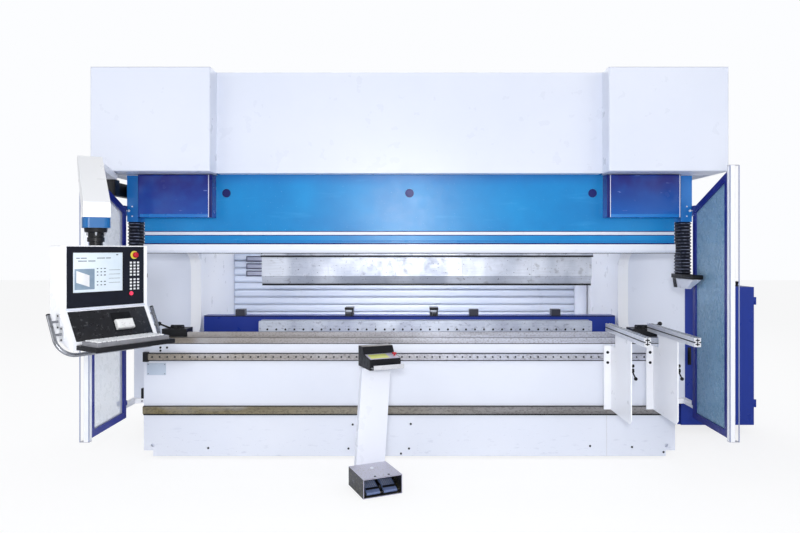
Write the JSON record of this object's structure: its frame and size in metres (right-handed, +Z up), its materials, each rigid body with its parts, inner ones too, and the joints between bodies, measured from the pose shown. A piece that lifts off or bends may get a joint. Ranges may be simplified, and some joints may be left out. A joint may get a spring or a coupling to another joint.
{
  "type": "press brake",
  "caption": "Hydraulic press brake: a wide bed with a die, a blue ram with punches, swinging operator console, guard doors, sheet supports, back gauge and foot-pedal stand.",
  "frame": {"origin": "centre of the four floor anchor holes, at floor level", "axes": "+X to the operator's right along the bed, +Y from the operator to the back, +Z up"},
  "size_m": [5.586, 3.53, 3.06],
  "materials": {
    "white_paint": "smooth white machine enamel",
    "ram_blue": "glossy bright blue enamel",
    "royal_blue": "royal blue enamel",
    "tool_steel": "ground tool steel, spotted",
    "oiled_steel": "oily worn steel",
    "black_metal": "black painted steel",
    "black_plastic": "black moulded plastic",
    "bellows_black": "black coated fabric",
    "guard_window": "dark blue translucent plastic",
    "door_pane": "grey-blue translucent pane",
    "aluminium": "anodised aluminium",
    "grey_plastic": "light grey moulded plastic",
    "stop_red": "red moulded plastic",
    "pedal_grey": "blue-grey painted steel",
    "screen": "black front panel with a screen"
  },
  "bodies": {
    "frame": {"left_side_frame": "white_paint", "right_side_frame": "white_paint", "frame_ties": "white_paint", "foot_plates": "black_metal", "bed_plate": "white_paint", "table_bar": "oiled_steel", "die": "tool_steel", "table_end_clamps": "black_metal", "support_rail": "tool_steel", "lower_guide_bar": "oiled_steel", "left_head_cover": "white_paint", "right_head_cover": "white_paint", "centre_cover": "white_paint", "hydraulic_cylinders": "black_metal", "power_pack": "royal_blue", "left_side_cover": "white_paint", "right_side_cover": "white_paint", "rear_guard": "white_paint", "ram_guides": "oiled_steel", "backgauge_rails": "tool_steel", "cabinet": "royal_blue", "arm_bracket": "black_metal", "stand_column": "white_paint", "pedal_box": "black_metal", "operator_box": "black_plastic"},
    "ram": {"ram": "ram_blue", "punch_clamp": "white_paint", "punches": "tool_steel", "guard_windows": "guard_window", "piston_rods": "tool_steel", "laser_posts": "ram_blue", "bellows": "bellows_black"},
    "left_laser": {"left_laser_head": "black_plastic"},
    "right_laser": {"right_laser_head": "black_plastic"},
    "left_door": {"left_door_frame": "royal_blue", "left_door_pane": "door_pane"},
    "right_door": {"right_door_frame": "royal_blue", "right_door_pane": "door_pane"},
    "cabinet_door": {"cabinet_door": "royal_blue"},
    "swing_arm": {"swing_arm": "white_paint"},
    "console": {"console_yoke": "black_metal", "console_housing": "white_paint", "console_panel": "screen", "console_shelf": "black_plastic", "keyboard_set": "grey_plastic", "hand_rail": "aluminium"},
    "console_stop": {"console_stop": "stop_red"},
    "console_button": {"console_button": "stop_red"},
    "back_gauge": {"backgauge_beam": "royal_blue"},
    "left_finger": {"left_finger": "tool_steel"},
    "right_finger": {"right_finger": "tool_steel"},
    "inner_support": {"inner_support_bracket": "white_paint", "inner_support_rail": "aluminium"},
    "inner_lever": {"inner_support_lever": "black_plastic"},
    "outer_support": {"outer_support_bracket": "white_paint", "outer_support_rail": "aluminium"},
    "outer_lever": {"outer_support_lever": "black_plastic"},
    "left_pedal": {"left_pedal": "pedal_grey"},
    "right_pedal": {"right_pedal": "pedal_grey"},
    "stand_stop": {"stand_stop": "stop_red"}
  },
  "joints": [
    {"name": "ram_stroke", "type": "slide", "parent": "frame", "child": "ram", "axis": [0, 0, -1], "range_m": [0, 0.215]},
    {"name": "left_laser_adjust", "type": "slide", "parent": "ram", "child": "left_laser", "axis": [0, 0, 1], "range_m": [0, 0.12], "deforming": ["bellows"]},
    {"name": "right_laser_adjust", "type": "slide", "parent": "ram", "child": "right_laser", "axis": [0, 0, 1], "range_m": [0, 0.12]},
    {"name": "left_door_swing", "type": "hinge", "parent": "frame", "child": "left_door", "pos_m": [-2.3, -0.83, 1.2], "axis": [0, 0, -1], "range_deg": [0, 95]},
    {"name": "right_door_swing", "type": "hinge", "parent": "frame", "child": "right_door", "pos_m": [2.3, -0.83, 1.2], "axis": [0, 0, 1], "range_deg": [0, 95]},
    {"name": "cabinet_door_swing", "type": "hinge", "parent": "frame", "child": "cabinet_door", "pos_m": [3.124, -0.138, 0.7], "axis": [0, 0, 1], "range_deg": [0, 100]},
    {"name": "arm_swing", "type": "hinge", "parent": "frame", "child": "swing_arm", "pos_m": [-2.33, -0.95, 2.23], "axis": [0, 0, 1], "range_deg": [0, 30]},
    {"name": "console_swivel", "type": "hinge", "parent": "swing_arm", "child": "console", "pos_m": [-1.795, -2.314, 1.78], "axis": [0, 0, 1], "range_deg": [-40, 40]},
    {"name": "console_stop_press", "type": "slide", "parent": "console", "child": "console_stop", "axis": [-0.829, 0.5592, 0], "range_m": [0, 0.006]},
    {"name": "console_button_press", "type": "slide", "parent": "console", "child": "console_button", "axis": [-0.829, 0.5592, 0], "range_m": [0, 0.004], "stiffness_N_per_m": 600},
    {"name": "back_gauge_depth", "type": "slide", "parent": "frame", "child": "back_gauge", "axis": [0, 1, 0], "range_m": [-0.22, 0.35]},
    {"name": "left_finger_slide", "type": "slide", "parent": "back_gauge", "child": "left_finger", "axis": [1, 0, 0], "range_m": [-0.85, 0.4]},
    {"name": "right_finger_slide", "type": "slide", "parent": "back_gauge", "child": "right_finger", "axis": [1, 0, 0], "range_m": [-0.2, 0.25]},
    {"name": "inner_support_slide", "type": "slide", "parent": "frame", "child": "inner_support", "axis": [1, 0, 0], "range_m": [-1.2, 0.05]},
    {"name": "outer_support_slide", "type": "slide", "parent": "frame", "child": "outer_support", "axis": [1, 0, 0], "range_m": [-0.06, 0.1]},
    {"name": "inner_lever_turn", "type": "hinge", "parent": "inner_support", "child": "inner_lever", "pos_m": [1.6113, -1.32, 0.786], "axis": [1, 0, 0], "range_deg": [-60, 60]},
    {"name": "outer_lever_turn", "type": "hinge", "parent": "outer_support", "child": "outer_lever", "pos_m": [1.9463, -1.32, 0.786], "axis": [1, 0, 0], "range_deg": [-60, 60]},
    {"name": "left_pedal_press", "type": "hinge", "parent": "frame", "child": "left_pedal", "pos_m": [-0.18916, -1.62619, 0.022], "axis": [-0.9135, -0.4067, 0], "range_deg": [0, 12], "stiffness_Nm_per_rad": 20, "springref_deg": -17.19},
    {"name": "right_pedal_press", "type": "hinge", "parent": "frame", "child": "right_pedal", "pos_m": [-0.18916, -1.62619, 0.022], "axis": [-0.9135, -0.4067, 0], "range_deg": [0, 12], "stiffness_Nm_per_rad": 20, "springref_deg": -17.19},
    {"name": "stand_stop_press", "type": "slide", "parent": "frame", "child": "stand_stop", "axis": [0, 0, -1], "range_m": [0, 0.006]}
  ],
  "couplings": [
    {"joint": "right_laser_adjust", "follows": "left_laser_adjust", "ratio": 1}
  ]
}
